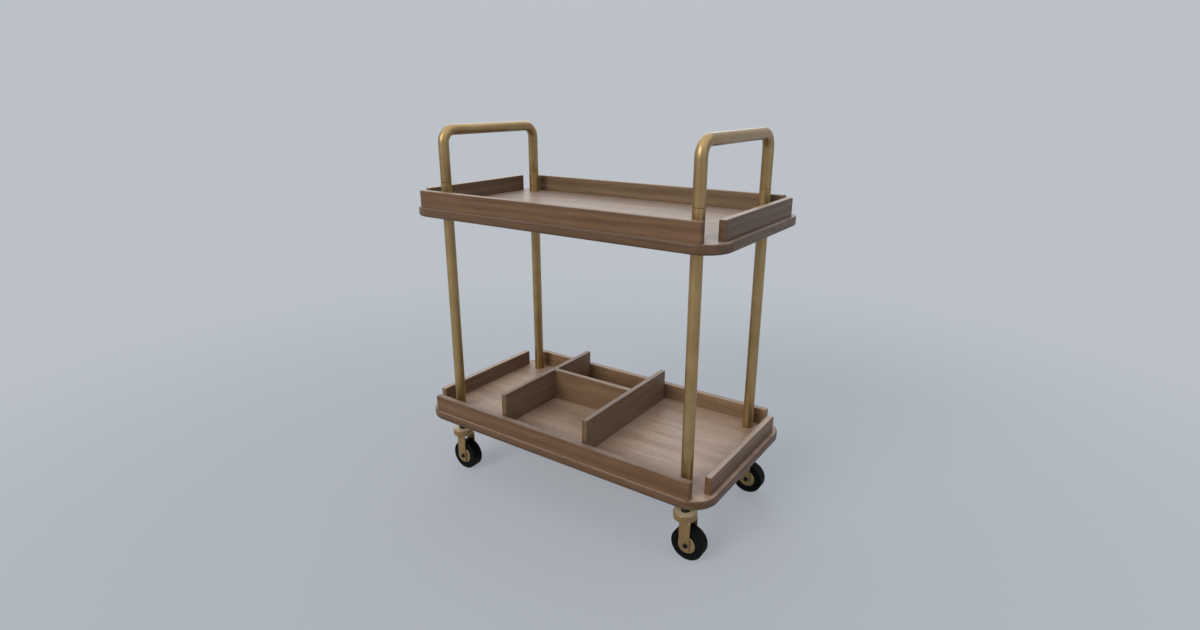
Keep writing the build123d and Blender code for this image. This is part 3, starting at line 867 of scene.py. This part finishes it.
@dataclass
class Casters:
    """Four swivel casters, each with a moulded rubber tyre on its hub."""

    tyre_radius: float = 37.5 * MM
    tyre_width: float = 28.0 * MM
    bore_radius: float = 20.5 * MM
    rib_radius: float = 24.5 * MM
    rib_width: float = 12.0 * MM
    shoulder_radius: float = 2.5 * MM
    shoulder_steps: int = 6
    wall_lip: float = 2.2 * MM
    wall_hollow: float = 0.9 * MM
    # Faces whose normal has more than this share along the axle belong to the walls
    wall_facing: float = 0.99
    band_inset: float = 2.6 * MM
    band_height: float = 0.5 * MM
    # The mould's parting line is about 0.2 mm wide, drawn at 0.6 mm so that it shows
    line_width: float = 0.6 * MM
    line_depth: float = 0.10 * MM
    edge_width: float = 0.2 * MM
    segments: int = 96
    # Slack for picking faces and edges by their place
    hair: float = 0.1 * MM
    hub: Brass = Brass(
        "turned_brass_hub", color="#9F865C", toned="#927A52", brush=Brush.ALL_ROUND, metallic=0.7,
    )
    # The fork's top carries a painted highlight
    fork: Brass = Brass(
        "turned_brass_fork", color="#9C7F52", toned="#8F7449", brush=Brush.ALL_ROUND, metallic=0.7,
        painted_top_highlight=True,
    )

    def dress(self) -> None:
        """Put the finishes on every caster."""
        hub = self.hub.material()
        fork = self.fork.material()
        black = BLACK_OXIDE_STEEL.material()
        nylon = MOULDED_NYLON.material()
        rubber = VULCANISED_RUBBER.material()
        dress("stem_washers", black)
        for corner in CORNERS:
            caster = f"caster_{corner}"
            dress(f"{caster}_fork", fork)
            dress(f"{caster}_hub", hub)
            dress(f"{caster}_stem", black)
            dress(f"{caster}_axle", black)
            dress(f"{caster}_swivel_bush", nylon)
            dress(f"{caster}_wheel_bush", nylon)
        self.fit_tyres(rubber)

    def fit_tyres(self, rubber: bpy.types.Material) -> None:
        """Model one tyre and set a copy of it on every wheel.

        Args:
            rubber: The finish of the tyres.
        """
        centres = {corner: sum(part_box(f"caster_{corner}_tyre"), Vector()) / 2 for corner in CORNERS}
        first = centres[CORNERS[0]]
        model = self.model_tyre(first)
        for corner in CORNERS:
            tyre = copy_to(model, centres[corner] - first)
            tyre.name = f"moulded_tyre_{corner}"
            hand_over(tyre, f"caster_{corner}_tyre", f"caster_{corner}_wheel", rubber)
        bpy.data.objects.remove(model)

    def model_tyre(self, centre: Vector) -> bpy.types.Object:
        """Model a tyre with a groove for the hub's rib, hollow walls and a parting line.

        Args:
            centre: The middle of the wheel, in metres.

        Returns:
            The tyre, with its axis along Y.
        """
        bpy.ops.object.select_all(action="DESELECT")
        bpy.ops.mesh.primitive_cylinder_add(
            vertices=self.segments, radius=self.tyre_radius, depth=self.tyre_width,
            location=centre, rotation=(math.pi / 2, 0.0, 0.0),
        )
        tyre = bpy.context.object
        settle(tyre)
        pick_faces(tyre, lambda place, normal: abs(normal.y) > ALONG_AXIS)
        bpy.ops.mesh.inset(thickness=self.tyre_radius - self.bore_radius)
        bpy.ops.mesh.bridge_edge_loops()
        pick_edges(tyre, lambda end: (
            self.from_axle(end, centre) > self.tyre_radius - self.hair
            and abs(end.y - centre.y) > self.tyre_width / 2 - self.hair
        ))
        bpy.ops.mesh.bevel(offset=self.shoulder_radius, segments=self.shoulder_steps, affect="EDGES")
        pick_faces(tyre, lambda place, normal: abs(normal.y) > self.wall_facing)
        bpy.ops.mesh.inset(thickness=self.wall_lip, depth=-self.wall_hollow)
        bpy.ops.mesh.inset(thickness=self.band_inset, depth=self.band_height)
        self.move_ring(tyre, centre, self.bore_radius, self.rib_width / 2, self.rib_radius)
        self.move_ring(
            tyre, centre, self.tyre_radius, self.line_width / 2, self.tyre_radius - self.line_depth,
        )
        soften(tyre, self.edge_width)
        return tyre

    def move_ring(
        self, tyre: bpy.types.Object, centre: Vector, reach: float, half_width: float, new_reach: float,
    ) -> None:
        """Move a ring of the bore or tread in or out, with a wall at each side.

        Args:
            tyre: The tyre, in edit mode.
            centre: The middle of the wheel, in metres.
            reach: The ring's distance from the axle.
            half_width: Half the ring's width.
            new_reach: The ring's new distance from the axle.
        """
        for side in (-half_width, half_width):
            split(centre + Vector((0.0, side, 0.0)), (0.0, 1.0, 0.0))
        pick_faces(tyre, lambda place, normal: (
            abs(self.from_axle(place, centre) - reach) < self.hair
            and abs(place.y - centre.y) < half_width
        ))
        bpy.ops.mesh.extrude_region_move(TRANSFORM_OT_translate={"value": (0.0, 0.0, 0.0)})
        grow = new_reach / reach
        bpy.ops.transform.resize(value=(grow, 1.0, grow), center_override=centre)

    @staticmethod
    def from_axle(point: Vector, centre: Vector) -> float:
        """Measure how far a point is from the line of the axle through the wheel's middle."""
        return math.hypot(point.x - centre.x, point.z - centre.z)


@dataclass(frozen=True)
class Lamp:
    """A soft lamp that points at the cart and stays out of the picture."""

    name: str
    spot: Triple
    # In W for a soft box, and in W on each square metre for the key lamp
    energy: float
    color: str

    def make(self) -> bpy.types.Light:
        """Make the light, with its shape."""
        raise NotImplementedError

    def hang(self, target: Vector) -> None:
        """Hang the lamp and point it at the cart.

        Args:
            target: The middle of the cart, in metres.
        """
        light = self.make()
        light.energy = self.energy
        light.color = linear(self.color)[:3]
        spot = Vector(self.spot)
        hung = bpy.data.objects.new(self.name, light)
        bpy.context.scene.collection.objects.link(hung)
        hung.location = spot
        hung.rotation_euler = (target - spot).to_track_quat("-Z", "Y").to_euler()
        hung.visible_camera = False


@dataclass(frozen=True)
class KeyLamp(Lamp):
    """The main lamp, far off and large, so that its shadows are soft."""

    # How wide it looks from the cart, in degrees
    spread: float

    def make(self) -> bpy.types.Light:
        """Make the light, with its shape.

        Returns:
            The light.
        """
        light = bpy.data.lights.new(self.name, "SUN")
        light.angle = math.radians(self.spread)
        return light


@dataclass(frozen=True)
class SoftBox(Lamp):
    """A flat box that glows evenly."""

    width: float
    height: float

    def make(self) -> bpy.types.Light:
        """Make the light, with its shape.

        Returns:
            The light.
        """
        light = bpy.data.lights.new(self.name, "AREA")
        light.shape = "RECTANGLE"
        light.size = self.width
        light.size_y = self.height
        return light


@dataclass
class Studio:
    """Floor, soft light and the camera."""

    target: Vector = field(default_factory=lambda: Vector((0.0, 0.0, 0.440)))
    azimuth: float = 34.81
    elevation: float = 18.01
    distance: float = 1.6298
    lens: float = 20.27
    sensor_width: float = 36.0
    floor_radius: float = 40.0
    floor_sides: int = 96
    floor_color: str = "#B6BBC2"
    haze_color: str = "#BCC1C8"
    near_haze: float = 0.5
    # How far from the cart the floor's paint starts to go over into haze, and where it is all haze
    paint_reach: float = 0.8
    haze_reach: float = 2.4
    sky_color: str = "#C8CBCF"
    overhead_color: str = "#FFFFFF"
    overhead_gain: float = 1.5
    wall_color: str = "#5C5F64"
    ceiling_color: str = "#C2C6CC"
    # Heights in the room, as sines of the angle above the horizon
    haze_top: float = 0.10
    sky_low: float = 0.35
    sky_top: float = 0.45
    overhead_low: float = 0.72
    ceiling_low: float = 0.60
    lamps: tuple[Lamp, ...] = (
        KeyLamp("key_lamp", (-0.6, -2.6, 1.9), energy=1.5, color="#FFFAF2", spread=32.0),
        SoftBox("rear_soft_box", (-1.9, 2.6, 1.9), energy=23.0, color="#FFFFFF", width=3.0, height=2.0),
        SoftBox("side_soft_box", (2.6, -0.4, 1.5), energy=7.0, color="#CFE0FF", width=2.0, height=2.0),
    )

    def build(self) -> None:
        """Make the floor, the light and the camera."""
        self.lay_floor()
        self.light_room()
        for lamp in self.lamps:
            lamp.hang(self.target)
        self.aim_camera()

    def seen(self, tree: bpy.types.NodeTree) -> bpy.types.NodeSocket:
        """Tell the rays that show a surface to the eye, in metal or through glass.

        Args:
            tree: The node tree that asks.

        Returns:
            A socket that is 1 for those rays and 0 for the light on other things.
        """
        rays = add_node(tree, "ShaderNodeLightPath").outputs
        mirrored = add_node(tree, "ShaderNodeMath", {
            0: rays["Is Glossy Ray"], 1: rays["Is Transmission Ray"],
        }, operation="MAXIMUM").outputs[0]
        return add_node(tree, "ShaderNodeMath", {
            0: mirrored, 1: rays["Is Camera Ray"],
        }, operation="MAXIMUM").outputs[0]

    def lay_floor(self) -> None:
        """Lay a wide plain floor."""
        bpy.ops.object.select_all(action="DESELECT")
        bpy.ops.mesh.primitive_circle_add(
            vertices=self.floor_sides, radius=self.floor_radius, fill_type="NGON",
        )
        floor = bpy.context.object
        floor.name = "studio_floor"
        made = bpy.data.materials.new("painted_floor")
        made.use_nodes = True
        tree = made.node_tree
        tree.nodes.clear()
        # Paint near the cart, which takes its shadow, runs into the haze of the backdrop further off. To
        # the eye and in metal some haze lies over the paint too, so that the shadow stays light
        place = add_node(tree, "ShaderNodeTexCoord").outputs["Object"]
        reach = add_node(tree, "ShaderNodeVectorMath", {0: place}, operation="LENGTH").outputs["Value"]
        near = add_node(tree, "ShaderNodeMath", {
            0: self.seen(tree), 1: self.near_haze,
        }, operation="MULTIPLY").outputs[0]
        far = add_node(tree, "ShaderNodeMapRange", {
            "Value": reach, "From Min": self.paint_reach, "From Max": self.haze_reach, "To Min": near,
        }, interpolation_type="SMOOTHSTEP").outputs[0]
        paint = add_node(tree, "ShaderNodeBsdfDiffuse", {"Color": linear(self.floor_color)}).outputs[0]
        haze = add_node(tree, "ShaderNodeEmission", {"Color": linear(self.haze_color)}).outputs[0]
        ground = add_node(tree, "ShaderNodeMixShader", {0: far, 1: paint, 2: haze}).outputs[0]
        # From below the floor is clear, so that the underside of the cart can be looked at
        below = add_node(tree, "ShaderNodeNewGeometry").outputs["Backfacing"]
        clear = add_node(tree, "ShaderNodeBsdfTransparent").outputs[0]
        mixed = add_node(tree, "ShaderNodeMixShader", {0: below, 1: ground, 2: clear}).outputs[0]
        add_node(tree, "ShaderNodeOutputMaterial", {"Surface": mixed})
        floor.data.materials.append(made)

    def light_room(self) -> None:
        """Light the room from its walls and ceiling, and show a pale backdrop to the eye and in metal."""
        world = bpy.data.worlds.new("studio_room")
        bpy.context.scene.world = world
        world.use_nodes = True
        tree = world.node_tree
        tree.nodes.clear()
        place = add_node(tree, "ShaderNodeTexCoord").outputs["Generated"]
        height = add_node(tree, "ShaderNodeSeparateXYZ", {"Vector": place}).outputs["Z"]
        backdrop = add_node(tree, "ShaderNodeValToRGB", {"Fac": height}, stops=[
            (self.haze_top, linear(self.haze_color)),
            (self.sky_low, linear(self.sky_color)),
            (self.sky_top, linear(self.sky_color)),
            (self.overhead_low, linear(self.overhead_color, self.overhead_gain)),
        ]).outputs["Color"]
        fill = add_node(tree, "ShaderNodeValToRGB", {"Fac": height}, stops=[
            (0.0, linear(self.wall_color)), (self.ceiling_low, linear(self.ceiling_color)),
        ]).outputs["Color"]
        room = add_node(tree, "ShaderNodeMix", {
            "Factor": self.seen(tree), COLOR_A: fill, COLOR_B: backdrop,
        }, data_type="RGBA").outputs[COLOR_OUT]
        lit = add_node(tree, "ShaderNodeBackground", {"Color": room}).outputs[0]
        add_node(tree, "ShaderNodeOutputWorld", {"Surface": lit})

    def aim_camera(self) -> None:
        """Set the camera at the photograph's viewing angle."""
        lens = bpy.data.cameras.new("camera")
        lens.lens = self.lens
        lens.sensor_width = self.sensor_width
        lens.sensor_fit = "HORIZONTAL"
        camera = bpy.data.objects.new("camera", lens)
        bpy.context.scene.collection.objects.link(camera)
        turn = math.radians(self.azimuth)
        rise = math.radians(self.elevation)
        back = Vector((
            math.sin(turn) * math.cos(rise), -math.cos(turn) * math.cos(rise), math.sin(rise),
        ))
        camera.location = self.target + back * self.distance
        camera.rotation_euler = (-back).to_track_quat("-Z", "Y").to_euler()
        bpy.context.scene.camera = camera


def main() -> None:
    """Dress the cart and build the studio."""
    logging.basicConfig(level=logging.INFO, format="%(name)s %(message)s")
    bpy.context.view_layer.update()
    bpy.context.scene.view_settings.view_transform = "Standard"
    Studio().build()
    Trays().dress()
    TubeFrame().dress()
    Casters().dress()


if __name__ == "__main__":
    main()
